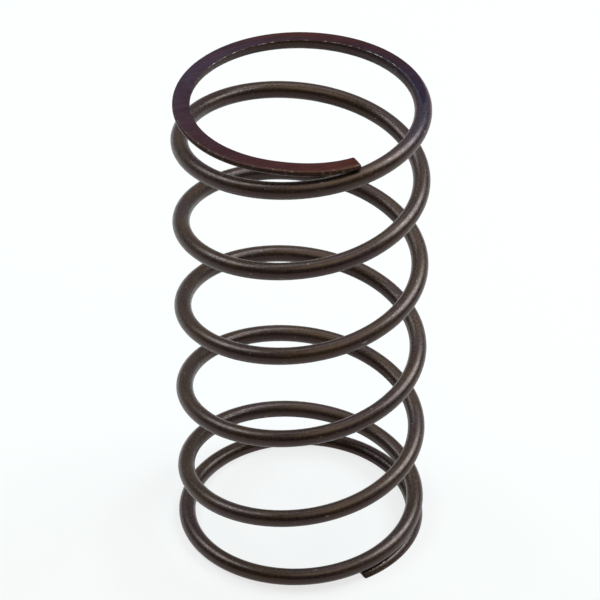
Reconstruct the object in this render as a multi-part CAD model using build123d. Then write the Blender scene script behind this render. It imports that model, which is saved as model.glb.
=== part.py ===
from build123d import *
from math import cos, sin, pi, radians
import os

os.makedirs("parts", exist_ok=True)

# Compression spring, right-hand coil, both ends closed and ground flat.
# Millimetres. +Z runs along the coil axis, and the origin is the centre of the lower ground seat.

# Driving dimensions
wire_diameter = 2.0
mean_coil_diameter = 27.6
free_length = 60.0
whole_turns = 7
top_tip_lag = 2.5            # degrees by which the upper wire tip stops short of the lower one
lower_tip_angle = -59.0      # degrees about Z from +X, where the wire starts
closed_pitch = 1.32          # rise per turn of the end coil before it opens
tip_thickness = 0.75         # wire left at each tip once the seat is ground

# How the upper end coil is drawn in near its tip, and how its tip is pressed down on the next turn.
# Each step is how far the wire moves, then where it starts and ends in turns from the tip.
upper_tuck = [(-0.4, 0.0, 0.12), (0.52, 0.1, 0.32), (0.28, 0.58, 0.8)]
upper_press = [(0.12, 0.0, 0.15)]

# How each end opens from the closed pitch to the active one.
# Each step is its share of the change, then where it starts and ends in turns from the tip.
lower_opening = [(1.0, 0.46, 1.82)]
upper_opening = [(0.84, 0.64, 1.26), (0.16, 0.64, 2.68)]

# Derived dimensions
wire_radius = wire_diameter / 2
mean_radius = mean_coil_diameter / 2
turns = whole_turns - top_tip_lag / 360
points_per_turn = 16         # of the spline that the wire follows
section_arcs = 4             # equal arcs that the round section is drawn in
tip_run = 0.0005             # turns over which the wire's direction at its tip is taken


def eased(turn, start, end):
    """Smooth step from 0 at start to 1 at end."""
    u = min(max((turn - start) / (end - start), 0.0), 1.0)
    return u * u * (3 - 2 * u)


def eased_total(turn, start, end):
    """The smooth step summed from the tip as far as this turn."""
    u = min(max((turn - start) / (end - start), 0.0), 1.0)
    return (end - start) * (u**3 - u**4 / 2) + max(turn - end, 0.0)


def opened_turns(turn, opening):
    """Full-pitch turns that the opened coil is worth, counted from the tip."""
    return sum(share * eased_total(turn, start, end) for share, start, end in opening)


def moved(steps, from_top):
    """How far these steps have moved the wire, this many turns from the upper tip."""
    return sum(distance * (1 - eased(from_top, start, end)) for distance, start, end in steps)


def tip_rise():
    """Height of the wire's centre over the seat at a tip, below zero where over half is ground off."""
    return tip_thickness - wire_radius


def active_pitch():
    """Pitch of the open coils that brings the two closed ends out at the free length."""
    half = turns / 2
    opened = opened_turns(half, lower_opening) + opened_turns(half, upper_opening)
    return closed_pitch + (free_length - 2 * tip_rise() - closed_pitch * turns) / opened


def rise_from_seat(turn, opening):
    """Height of the wire's centre over the nearer seat, this many turns from that end's tip."""
    gained = (active_pitch() - closed_pitch) * opened_turns(turn, opening)
    return tip_rise() + closed_pitch * turn + gained


def wire_centre(turn):
    """Centre of the wire at this many turns from the lower tip."""
    from_top = turns - turn
    if turn < from_top:
        height = rise_from_seat(turn, lower_opening)
    else:
        height = free_length - rise_from_seat(from_top, upper_opening) - moved(upper_press, from_top)
    radius = mean_radius - moved(upper_tuck, from_top)
    angle = radians(lower_tip_angle) + 2 * pi * turn
    return Vector(radius * cos(angle), radius * sin(angle), height)


def section_plane():
    """Plane across the wire at the lower tip, its X axis pointing away from the coil's axis."""
    start = wire_centre(0)
    run = wire_centre(tip_run) - start
    along = run.normalized()
    outward = Vector(start.X, start.Y, 0).normalized()
    return Plane(origin=start, x_dir=outward - along * outward.dot(along), z_dir=along)


def wire_section():
    """Round section of the wire in equal arcs, so each face of the swept wire is a narrow strip."""
    arc_size = 360 / section_arcs
    arcs = [CenterArc((0, 0), wire_radius, i * arc_size, arc_size).edge() for i in range(section_arcs)]
    return section_plane() * make_face(Wire(arcs))


def coiled_wire():
    """Round wire swept along the coil, with square-cut tips."""
    steps = round(turns * points_per_turn)
    path = Spline([wire_centre(turns * i / steps) for i in range(steps + 1)])
    return sweep(wire_section(), path=path)


def ground_flat(coil):
    """Grind both ends square to the axis, down to the free length."""
    reach = 2 * mean_coil_diameter
    slab = Box(reach, reach, free_length, align=(Align.CENTER, Align.CENTER, Align.MIN))
    return coil & slab


spring = ground_flat(coiled_wire())
export_step(spring, "parts/coil_spring.step")
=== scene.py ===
import bpy
from math import asin, cos, pi, radians, sin
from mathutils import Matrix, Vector


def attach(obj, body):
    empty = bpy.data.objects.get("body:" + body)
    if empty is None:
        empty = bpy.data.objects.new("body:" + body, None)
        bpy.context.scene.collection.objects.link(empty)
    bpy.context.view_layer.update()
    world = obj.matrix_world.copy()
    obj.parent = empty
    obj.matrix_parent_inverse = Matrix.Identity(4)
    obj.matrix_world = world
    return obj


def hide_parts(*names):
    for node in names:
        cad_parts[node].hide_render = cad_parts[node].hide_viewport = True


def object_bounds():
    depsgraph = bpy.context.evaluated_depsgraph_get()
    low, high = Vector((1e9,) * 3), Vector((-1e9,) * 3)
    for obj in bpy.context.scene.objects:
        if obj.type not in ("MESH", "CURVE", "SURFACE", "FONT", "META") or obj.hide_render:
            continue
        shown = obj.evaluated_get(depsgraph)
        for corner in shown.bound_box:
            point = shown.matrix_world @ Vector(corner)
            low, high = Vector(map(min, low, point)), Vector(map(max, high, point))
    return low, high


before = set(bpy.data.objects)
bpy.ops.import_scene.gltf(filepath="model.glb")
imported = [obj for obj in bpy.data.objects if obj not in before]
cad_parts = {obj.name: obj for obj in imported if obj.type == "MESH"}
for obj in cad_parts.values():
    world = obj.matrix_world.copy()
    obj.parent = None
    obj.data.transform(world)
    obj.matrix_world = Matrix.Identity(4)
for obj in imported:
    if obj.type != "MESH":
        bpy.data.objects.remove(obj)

cad_low, cad_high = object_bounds()
mm = 0.001

# ---- Coiled wire ------------------------------------------------------------------------------
# One length of round spring steel wire, 2 mm thick, coiled right-hand. Each end coil is closed down
# on its neighbour, and the pitch eases open from there. Both ends are then ground square to the axis.
free_length = cad_high.z - cad_low.z
wire_radius = 1.0 * mm
mean_radius = 13.8 * mm
top_tip_lag = 2.5           # degrees by which the upper wire tip stops short of the lower one
turns = 7 - top_tip_lag / 360
lower_tip_angle = radians(-59.0)
closed_pitch = 1.32 * mm
tip_thickness = 0.75 * mm   # wire left at the lower tip; the press leaves a little more at the upper one
# Each step is how far the wire moves, or its share of the change of pitch, then where the step starts and
# ends in turns from that end's tip.
upper_tuck = [(-0.4 * mm, 0.0, 0.12), (0.52 * mm, 0.1, 0.32), (0.28 * mm, 0.58, 0.8)]
upper_press = [(0.12 * mm, 0.0, 0.15)]
lower_opening = [(1.0, 0.46, 1.82)]
upper_opening = [(0.84, 0.64, 1.26), (0.16, 0.64, 2.68)]

nudge = 0.001               # turns either side of a ring between which its direction is taken

seat_edge = 0.06 * mm       # radius of the broken edge round each ground seat
worn_edge = 0.32 * mm       # radius that the upper seat's outer edge is worn to at its tip
worn_from, worn_to = 0.2, 0.42    # turns from that tip over which the wear dies out
tip_edge = 0.28 * mm        # radius of the rounded edge round each cut tip
edge_share = 0.4            # the most of the wire's thickness that a broken edge may take
edge_support = 0.04 * mm    # flat kept true this close to its edge
side_steps = 20             # faces round each side of the wire
edge_steps = 5              # faces round each broken edge
tip_steps = 4               # rings in each rounded tip
rings_per_turn = 120


def eased(turn, start, end):
    """Smooth step from 0 at start to 1 at end."""
    u = min(max((turn - start) / (end - start), 0.0), 1.0)
    return u * u * (3 - 2 * u)


def opened_turns(turn, opening):
    """Full-pitch turns that the opened coil is worth, counted from the tip."""
    total = 0.0
    for share, start, end in opening:
        u = min(max((turn - start) / (end - start), 0.0), 1.0)
        total += share * ((end - start) * (u**3 - u**4 / 2) + max(turn - end, 0.0))
    return total


def moved(steps, from_top):
    """How far these steps have moved the wire, this many turns from the upper tip."""
    return sum(distance * (1 - eased(from_top, start, end)) for distance, start, end in steps)


tip_rise = tip_thickness - wire_radius
half_opened = opened_turns(turns / 2, lower_opening) + opened_turns(turns / 2, upper_opening)
pitch_gain = (free_length - 2 * tip_rise - closed_pitch * turns) / half_opened


def wire_centre(turn):
    """Centre of the wire at this many turns from the lower tip."""
    from_top = turns - turn
    near, opening = (turn, lower_opening) if turn < from_top else (from_top, upper_opening)
    rise = tip_rise + closed_pitch * near + pitch_gain * opened_turns(near, opening)
    height = rise if turn < from_top else free_length - rise - moved(upper_press, from_top)
    radius = mean_radius - moved(upper_tuck, from_top)
    angle = lower_tip_angle + 2 * pi * turn
    return Vector((radius * cos(angle), radius * sin(angle), height))


def upper_half(radius, seat, edge_radius):
    """Where the round side of a section ends under a seat this far above its centre, and its broken edge."""
    edge_radius = min(edge_radius, edge_share * (radius + seat))
    inner = radius - edge_radius
    side_end = asin(min((seat - edge_radius) / inner, 1.0))
    centre = (inner * cos(side_end), inner * sin(side_end))
    arc = [side_end + (pi / 2 - side_end) * k / edge_steps for k in range(1, edge_steps + 1)]
    edge = [(centre[0] + edge_radius * cos(a), centre[1] + edge_radius * sin(a)) for a in arc]
    edge.append((edge[-1][0] - min(edge_support, centre[0] / 2), edge[-1][1]))
    return side_end, edge


def ground_section(radius, above, below, outer_edge):
    """Outline of the wire's section, from its outer side round by the top, with a seat above and below."""
    halves = []
    for upper_edge in (outer_edge, seat_edge):
        up_end, up_edge = upper_half(radius, above, upper_edge)
        down_end, down_edge = upper_half(radius, below, seat_edge)
        side = [-down_end + (up_end + down_end) * k / side_steps for k in range(side_steps + 1)]
        half = [(x, -y) for x, y in reversed(down_edge)]
        half += [(radius * cos(a), radius * sin(a)) for a in side]
        halves.append(half + up_edge)
    return halves[0] + [(-x, y) for x, y in reversed(halves[1])]


# How far along the wire each ring stands, and how much its section is drawn in for the rounded tip.
turn_length = 2 * pi * mean_radius
tip_rings = []
for k in range(tip_steps):
    a = pi / 2 * k / tip_steps
    tip_rings.append((tip_edge * (1 - cos(a)) / turn_length, tip_edge * (1 - sin(a))))
first, last = tip_edge / turn_length, turns - tip_edge / turn_length
steps = round(turns * rings_per_turn)
rings = tip_rings + [(first + (last - first) * i / steps, 0.0) for i in range(steps + 1)]
rings += [(turns - at, drawn_in) for at, drawn_in in reversed(tip_rings)]

outline_points = len(ground_section(wire_radius, wire_radius, wire_radius, seat_edge))
bpy.ops.object.select_all(action="DESELECT")
bpy.ops.mesh.primitive_circle_add(
    vertices=outline_points, radius=wire_radius, location=(mean_radius, 0, 0), rotation=(pi / 2, 0, 0)
)
wire = bpy.context.object
wire.name = "coiled_wire"
bpy.ops.object.transform_apply(location=True, rotation=True)
bpy.ops.object.modifier_add(type="SCREW")
winding = wire.modifiers[-1]
winding.angle = 2 * pi * turns
winding.screw_offset = free_length
winding.steps = winding.render_steps = len(rings) - 1
winding.use_merge_vertices = False
bpy.ops.object.modifier_apply(modifier=winding.name)

# Each ring is moved to its own place on the coil and given its ground outline. Two attributes keep where
# each point lay: "drawn" on the straight wire before it was coiled, and "ground" on the nearer seat, as
# turns from its tip, the share of the way across from the middle, and the depth in from the seat in metres.
mesh = wire.data
drawn = mesh.attributes.new("drawn", "FLOAT_VECTOR", "POINT")
ground = mesh.attributes.new("ground", "FLOAT_VECTOR", "POINT")
for i, (turn, drawn_in) in enumerate(rings):
    centre = wire_centre(turn)
    along = (wire_centre(turn + nudge) - wire_centre(turn - nudge)).normalized()
    outward = Vector((along.y, -along.x, 0)).normalized()
    up = outward.cross(along)
    above = (free_length - centre.z) / up.z - drawn_in
    below = centre.z / up.z - drawn_in
    outer_edge = worn_edge - (worn_edge - seat_edge) * eased(turns - turn, worn_from, worn_to)
    for j, (x, y) in enumerate(ground_section(wire_radius - drawn_in, above, below, outer_edge)):
        point = centre + x * outward + y * up
        k = i * outline_points + j
        mesh.vertices[k].co = point
        drawn.data[k].vector = (turn * turn_length, x, y)
        depth = min(point.z, free_length - point.z)
        ground.data[k].vector = (min(turn, turns - turn), x / wire_radius, depth)

# Each outer edge keeps its skin, except where the upper one is worn down near its tip. Each inner edge is
# rubbed.
kinds = []
for lower_edge, upper_edge in (("side", "worn"), ("edge", "edge")):
    kinds += ["seat"] + [lower_edge] * edge_steps + ["side"] * side_steps + [upper_edge] * edge_steps
    kinds += ["seat", "seat"]
slots = {"side": 0, "seat": 1, "edge": 2}
for polygon in mesh.polygons:
    places = sorted({v % outline_points for v in polygon.vertices})
    kind = kinds[places[-1] if places == [0, outline_points - 1] else places[0]]
    if kind == "worn":
        from_tip = turns - rings[min(polygon.vertices) // outline_points][0]
        kind = "seat" if from_tip < worn_to else "side"
    polygon.material_index = slots[kind]
    polygon.use_smooth = True

merge_within = 0.004 * mm
bpy.ops.object.mode_set(mode="EDIT")
bpy.ops.mesh.select_all(action="SELECT")
bpy.ops.mesh.remove_doubles(threshold=merge_within)
bpy.ops.mesh.select_non_manifold()
bpy.ops.mesh.fill_holes(sides=0)
bpy.ops.mesh.select_all(action="SELECT")
bpy.ops.mesh.normals_make_consistent(inside=False)
bpy.ops.object.mode_set(mode="OBJECT")
cap_points = 6              # only the two filled tips have more corners than this
for polygon in mesh.polygons:
    if len(polygon.vertices) > cap_points:
        polygon.material_index = slots["side"]


def linear(hex_colour):
    """An sRGB hex colour as the linear colour that a shader takes."""
    parts = [int(hex_colour[i : i + 2], 16) / 255 for i in (0, 2, 4)]
    return tuple(c / 12.92 if c <= 0.04045 else ((c + 0.055) / 1.055) ** 2.4 for c in parts) + (1,)


def add(tree, kind, inputs=None, stops=(), **settings):
    """Adds a node with its settings, its inputs set or linked, and the colours along its ramp, if any."""
    node = tree.nodes.new(kind)
    for name, value in settings.items():
        setattr(node, name, value)
    for name, value in (inputs or {}).items():
        if isinstance(value, bpy.types.Node):
            value = value.outputs[0]
        if isinstance(value, bpy.types.NodeSocket):
            tree.links.new(value, node.inputs[name])
        else:
            node.inputs[name].default_value = value
    for k, (position, colour) in enumerate(stops):
        elements = node.color_ramp.elements
        element = elements[k] if k < len(elements) else elements.new(position)
        element.position, element.color = position, linear(colour)
    return node


def new_material(name):
    """An empty node material and its node tree."""
    material = bpy.data.materials.new(name)
    material.use_nodes = True
    material.node_tree.nodes.clear()
    return material, material.node_tree


# Dark oxide on drawn spring steel, left by the tempering heat: a thin brown-black skin with a satin sheen. It
# has faint lines along the wire from the drawing die, mauve stains, a few spots knocked bare, a blue tail
# past each seat, and a fine scale that breaks up the highlights. Real die lines are about 0.03 mm wide and
# scale grains 0.02 mm, too fine to show, so both are drawn coarser here.
die_line = (9 * mm, 0.24 * mm)      # length and width of a line
speck = 0.32 * mm
patch = (5 * mm, 1.3 * mm)          # length and width of a lighter or darker patch
stain = 7 * mm
stain_depth = 0.7                   # how much of the mauve the deepest stain takes on
blue_strength = 0.45                # how far the blue reaches at its strongest
scuff = (0.9 * mm, 0.26 * mm)       # length and width of a spot knocked bare
scale_height = 0.005 * mm
skin_gloss, skin_dull = 0.25, 0.39  # roughness of the smoothest and the roughest scale
blue_in = (0.62, 0.8)               # turns from each tip over which the blue past the seat comes in
blue_out = (0.84, 0.98)             # turns from each tip over which it dies out
blue_depth = (0.6 * mm, 1.3 * mm)   # how far below the seat it starts to fade and is gone
oxide, tree = new_material("dark_oxide_spring_steel")
along_wire = add(tree, "ShaderNodeAttribute", attribute_name="drawn").outputs["Vector"]
lines_at = add(tree, "ShaderNodeVectorMath", {
    0: along_wire, 1: (1 / die_line[0], 1 / die_line[1], 1 / die_line[1])}, operation="MULTIPLY")
lines = add(tree, "ShaderNodeTexNoise", {"Vector": lines_at, "Scale": 1.0, "Detail": 2.0, "Roughness": 0.6})
patches_at = add(tree, "ShaderNodeVectorMath", {
    0: along_wire, 1: (1 / patch[0], 1 / patch[1], 1 / patch[1])}, operation="MULTIPLY")
patches = add(tree, "ShaderNodeTexNoise", {"Vector": patches_at, "Scale": 1.0, "Detail": 3.0})
specks = add(tree, "ShaderNodeTexNoise", {"Vector": along_wire, "Scale": 1 / speck, "Detail": 2.0})
stains = add(tree, "ShaderNodeTexNoise", {"Vector": along_wire, "Scale": 1 / stain, "Detail": 1.0})
scuffs_at = add(tree, "ShaderNodeVectorMath", {
    0: along_wire, 1: (1 / scuff[0], 1 / scuff[1], 1 / scuff[1])}, operation="MULTIPLY")
scuffs = add(tree, "ShaderNodeTexNoise", {"Vector": scuffs_at, "Scale": 1.0, "Detail": 1.0})
bare = add(tree, "ShaderNodeMapRange", {"Value": scuffs, "From Min": 0.74, "From Max": 0.79})
tone = add(tree, "ShaderNodeMix", {0: 0.4, 2: patches.outputs[0], 3: lines.outputs[0]}, data_type="FLOAT")
brown = add(tree, "ShaderNodeValToRGB", {"Fac": tone},
            stops=[(0.36, "251a14"), (0.5, "2f2118"), (0.64, "3a2b20")])
stained = add(tree, "ShaderNodeMapRange", {
    "Value": stains, "From Min": 0.42, "From Max": 0.62, "To Max": stain_depth})
mauve = add(tree, "ShaderNodeMix", {0: stained, 6: brown.outputs[0], 7: linear("2b1f24")}, data_type="RGBA")
on_seat = add(tree, "ShaderNodeAttribute", attribute_name="ground").outputs["Vector"]
parts = add(tree, "ShaderNodeSeparateXYZ", {"Vector": on_seat})
before_end = add(tree, "ShaderNodeMapRange", {
    "Value": parts.outputs["X"], "From Min": blue_out[1], "From Max": blue_out[0]},
    interpolation_type="SMOOTHSTEP")
near_seat = add(tree, "ShaderNodeMapRange", {
    "Value": parts.outputs["Z"], "From Min": blue_depth[1], "From Max": blue_depth[0],
    "To Max": blue_strength}, interpolation_type="SMOOTHSTEP")
after_start = add(tree, "ShaderNodeMapRange", {
    "Value": parts.outputs["X"], "From Min": blue_in[0], "From Max": blue_in[1]},
    interpolation_type="SMOOTHSTEP")
near_end = add(tree, "ShaderNodeMath", {0: before_end, 1: near_seat}, operation="MULTIPLY")
blued = add(tree, "ShaderNodeMath", {0: near_end, 1: after_start}, operation="MULTIPLY")
heat_tail = add(tree, "ShaderNodeMix", {0: blued, 6: mauve.outputs[2], 7: linear("35344b")}, data_type="RGBA")
skin_colour = add(tree, "ShaderNodeMix", {
    0: bare, 6: heat_tail.outputs[2], 7: linear("8c8379")}, data_type="RGBA")
metal = add(tree, "ShaderNodeMath", {0: bare, 1: blued}, operation="MAXIMUM")
grain = add(tree, "ShaderNodeMix", {0: 0.35, 2: lines.outputs[0], 3: specks.outputs[0]}, data_type="FLOAT")
satin = add(tree, "ShaderNodeMapRange", {
    "Value": specks, "From Min": 0.38, "From Max": 0.62, "To Min": skin_gloss, "To Max": skin_dull})
relief = add(tree, "ShaderNodeBump", {"Height": grain, "Distance": scale_height, "Strength": 1.0})
skin = add(tree, "ShaderNodeBsdfPrincipled", {
    "Base Color": skin_colour.outputs[2], "Metallic": metal, "Roughness": satin, "IOR": 1.5,
    "Specular Tint": linear("ffdad3"), "Normal": relief})
add(tree, "ShaderNodeOutputMaterial", {"Surface": skin})

# The seats were ground before tempering, so the heat left thin interference colours on bright steel:
# red-brown at the tip, then plum and mauve, and red-brown again before blue. They run bluer towards the
# inner edge. Grinding lines cross the seat straight. Real ones are about 0.05 mm wide, too fine to show, so
# these are coarser.
red_brown, plum, mauve, blue = "5a302a", "4a2c32", "4c3c4c", "282a44"
grind_line = (6 * mm, 0.26 * mm)
grind_angle = radians(24)
blotch = 1.1 * mm
bruise = 0.45 * mm          # size of a light spot in the worn outer margin
grind_depth = 0.012 * mm
stray = 0.12                # turns by which the blotches shift a colour to and fro
sound, dull = 0.42, 0.62    # roughness with all of its temper colour and with none
margin_wear = 0.85          # how much of that colour is gone where the margin is most worn
seat, tree = new_material("temper_coloured_ground_steel")
place = add(tree, "ShaderNodeTexCoord").outputs["Object"]
turned = add(tree, "ShaderNodeMapping", {
    "Vector": place, "Rotation": (0, 0, grind_angle),
    "Scale": (grind_line[0], grind_line[1], grind_line[1])}, vector_type="TEXTURE")
scratches = add(tree, "ShaderNodeTexNoise", {"Vector": turned, "Scale": 1.0, "Detail": 2.0, "Roughness": 0.6})
blotches = add(tree, "ShaderNodeTexNoise", {
    "Vector": place, "Scale": 1 / blotch, "Detail": 3.0, "Roughness": 0.6})
on_seat = add(tree, "ShaderNodeAttribute", attribute_name="ground").outputs["Vector"]
parts = add(tree, "ShaderNodeSeparateXYZ", {"Vector": on_seat})
strayed = add(tree, "ShaderNodeMath", {
    0: blotches, 1: stray, 2: parts.outputs["X"]}, operation="MULTIPLY_ADD")
reach = add(tree, "ShaderNodeMath", {0: strayed, 1: stray / 2}, operation="SUBTRACT")
outer_heat = add(tree, "ShaderNodeValToRGB", {"Fac": reach}, stops=[
    (0.0, red_brown), (0.2, plum), (0.4, mauve), (0.58, red_brown), (0.9, blue)])
inner_heat = add(tree, "ShaderNodeValToRGB", {"Fac": reach}, stops=[
    (0.0, red_brown), (0.2, plum), (0.45, mauve), (0.62, plum), (0.84, blue)])
outwards = add(tree, "ShaderNodeMapRange", {
    "Value": parts.outputs["Y"], "From Min": -0.7, "From Max": 0.6}, interpolation_type="SMOOTHSTEP")
heat = add(tree, "ShaderNodeMix", {
    0: outwards, 6: inner_heat.outputs[0], 7: outer_heat.outputs[0]}, data_type="RGBA")
marks = add(tree, "ShaderNodeMix", {
    0: 0.5, 2: blotches.outputs[0], 3: scratches.outputs[0]}, data_type="FLOAT")
shade = add(tree, "ShaderNodeMapRange", {
    "Value": marks, "From Min": 0.35, "From Max": 0.65, "To Min": 0.74, "To Max": 1.26})
temper = add(tree, "ShaderNodeVectorMath", {0: heat.outputs[2], "Scale": shade}, operation="SCALE")
margin = add(tree, "ShaderNodeMapRange", {
    "Value": parts.outputs["Y"], "From Min": 0.25, "From Max": 0.8}, interpolation_type="SMOOTHSTEP")
near_tip = add(tree, "ShaderNodeMapRange", {
    "Value": parts.outputs["X"], "From Min": worn_to, "From Max": worn_from}, interpolation_type="SMOOTHSTEP")
worn_part = add(tree, "ShaderNodeMath", {0: margin, 1: near_tip}, operation="MULTIPLY")
bruises_at = add(tree, "ShaderNodeTexNoise", {"Vector": place, "Scale": 1 / bruise, "Detail": 2.0})
bruises = add(tree, "ShaderNodeValToRGB", {"Fac": bruises_at},
              stops=[(0.4, "32251f"), (0.58, "382b24"), (0.7, "585045")])
worn = add(tree, "ShaderNodeMath", {0: worn_part, 1: margin_wear}, operation="MULTIPLY")
dulled = add(tree, "ShaderNodeMapRange", {"Value": worn, "To Min": sound, "To Max": dull})
seat_colour = add(tree, "ShaderNodeMix", {0: worn, 6: temper, 7: bruises}, data_type="RGBA")
ground_relief = add(tree, "ShaderNodeBump", {"Height": scratches, "Distance": grind_depth, "Strength": 1.0})
ground_steel = add(tree, "ShaderNodeBsdfPrincipled", {
    "Base Color": seat_colour.outputs[2], "Metallic": 1.0, "Roughness": dulled, "Normal": ground_relief})
add(tree, "ShaderNodeOutputMaterial", {"Surface": ground_steel})

# The inner edge of each seat is rubbed through its olive skin in spots, so a broken line of bright steel
# shows along it.
rub = (0.7 * mm, 0.3 * mm)          # length and width of a rubbed spot
rub_depth = 0.03 * mm
rubbed, tree = new_material("rubbed_edge_steel")
along_wire = add(tree, "ShaderNodeAttribute", attribute_name="drawn").outputs["Vector"]
rubs_at = add(tree, "ShaderNodeVectorMath", {
    0: along_wire, 1: (1 / rub[0], 1 / rub[1], 1 / rub[1])}, operation="MULTIPLY")
rubs = add(tree, "ShaderNodeTexNoise", {"Vector": rubs_at, "Scale": 1.0, "Detail": 2.0})
rub_colour = add(tree, "ShaderNodeValToRGB", {"Fac": rubs},
                 stops=[(0.42, "30281f"), (0.54, "453b31"), (0.68, "8a8075")])
rub_relief = add(tree, "ShaderNodeBump", {"Height": rubs, "Distance": rub_depth, "Strength": 1.0})
rim = add(tree, "ShaderNodeBsdfPrincipled", {
    "Base Color": rub_colour, "Metallic": 1.0, "Roughness": 0.4, "Normal": rub_relief})
add(tree, "ShaderNodeOutputMaterial", {"Surface": rim})

for material in (oxide, seat, rubbed):
    mesh.materials.append(material)
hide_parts("coil_spring")
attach(wire, "root")

# ---- Floor, studio and camera -----------------------------------------------------------------
# The spring stands on a pale matt floor inside a light tent. Most of the floor's white is its own, for what
# is seen or mirrored, so the shadow on it stays light.
floor_size = 6.0
floor_paint = 0.15          # how much of the lamps' light the floor gives back
own_white = 0.75
bpy.ops.object.select_all(action="DESELECT")
bpy.ops.mesh.primitive_plane_add(size=floor_size)
floor = bpy.context.object
floor.name = "floor"
pale, tree = new_material("pale_floor")
rays = add(tree, "ShaderNodeLightPath")
seen_or_mirrored = add(tree, "ShaderNodeMath", {
    0: rays.outputs["Is Camera Ray"], 1: rays.outputs["Is Glossy Ray"]}, operation="ADD")
shown = add(tree, "ShaderNodeMath", {
    0: seen_or_mirrored, 1: rays.outputs["Is Transmission Ray"]}, operation="ADD", use_clamp=True)
glow = add(tree, "ShaderNodeMath", {0: shown, 1: own_white}, operation="MULTIPLY")
paint = add(tree, "ShaderNodeBsdfPrincipled", {
    "Base Color": (floor_paint, floor_paint, floor_paint, 1), "Specular IOR Level": 0.0,
    "Emission Color": (1, 1, 1, 1), "Emission Strength": glow})
add(tree, "ShaderNodeOutputMaterial", {"Surface": paint})
floor.data.materials.append(pale)

# The tent is pale behind the object and overhead, and open to a dark room in front of it.
dark_room, tent_back, tent_roof = 0.01, 0.24, 0.25
studio = bpy.data.worlds.new("light_tent")
bpy.context.scene.world = studio
studio.use_nodes = True
tree = studio.node_tree
sky = tree.nodes["Background"]
sky.inputs["Color"].default_value = (1, 1, 1, 1)
way = add(tree, "ShaderNodeTexCoord")
axes = add(tree, "ShaderNodeSeparateXYZ", {"Vector": way.outputs["Generated"]})
behind = add(tree, "ShaderNodeMapRange", {
    "Value": axes.outputs["Y"], "From Min": -0.5, "From Max": 0.8, "To Min": dark_room, "To Max": tent_back},
    interpolation_type="SMOOTHSTEP")
overhead = add(tree, "ShaderNodeMapRange", {
    "Value": axes.outputs["Z"], "From Min": 0.5, "From Max": 0.93, "To Max": tent_roof},
    interpolation_type="SMOOTHSTEP")
level = add(tree, "ShaderNodeMath", {0: behind, 1: overhead}, operation="ADD")
tree.links.new(level.outputs[0], sky.inputs["Strength"])

middle = Vector((0, 0, free_length / 2))


def softbox(name, bearing, rise, size, power, colour, distance=0.6):
    """A round lamp that faces the object from a bearing, in degrees round from the front, and a rise."""
    a, e = radians(bearing), radians(rise)
    away = Vector((sin(a) * cos(e), -cos(a) * cos(e), sin(e))) * distance
    bpy.ops.object.light_add(type="AREA", location=middle + away)
    lamp = bpy.context.object
    lamp.name = name
    lamp.rotation_mode = "QUATERNION"
    lamp.rotation_quaternion = away.to_track_quat("Z", "Y")
    lamp.data.shape = "DISK"
    lamp.data.size = size
    lamp.data.energy = power
    lamp.data.color = linear(colour)[:3]


softbox("left_softbox", -118, 53, 0.36, 2.45, "e6fcff")
softbox("right_softbox", 111, 49, 0.39, 4.0, "e6fcff")
softbox("front_top_softbox", 18, 69, 0.46, 1.0, "f4f3ca")
softbox("back_top_softbox", 160, 74, 0.5, 0.8, "f0fcff")

camera_place = Vector((-0.106 * mm, -366.4 * mm, 306.0 * mm))
camera_target = Vector((-0.106 * mm, 0, 32.10 * mm))
bpy.ops.object.camera_add(location=camera_place)
camera = bpy.context.object
camera.rotation_mode = "QUATERNION"
camera.rotation_quaternion = (camera_target - camera_place).to_track_quat("-Z", "Y")
camera.data.lens = 235.0
camera.data.sensor_width = 36.0
camera.data.clip_end = 10
bpy.context.scene.camera = camera
bpy.context.scene.view_settings.view_transform = "Standard"
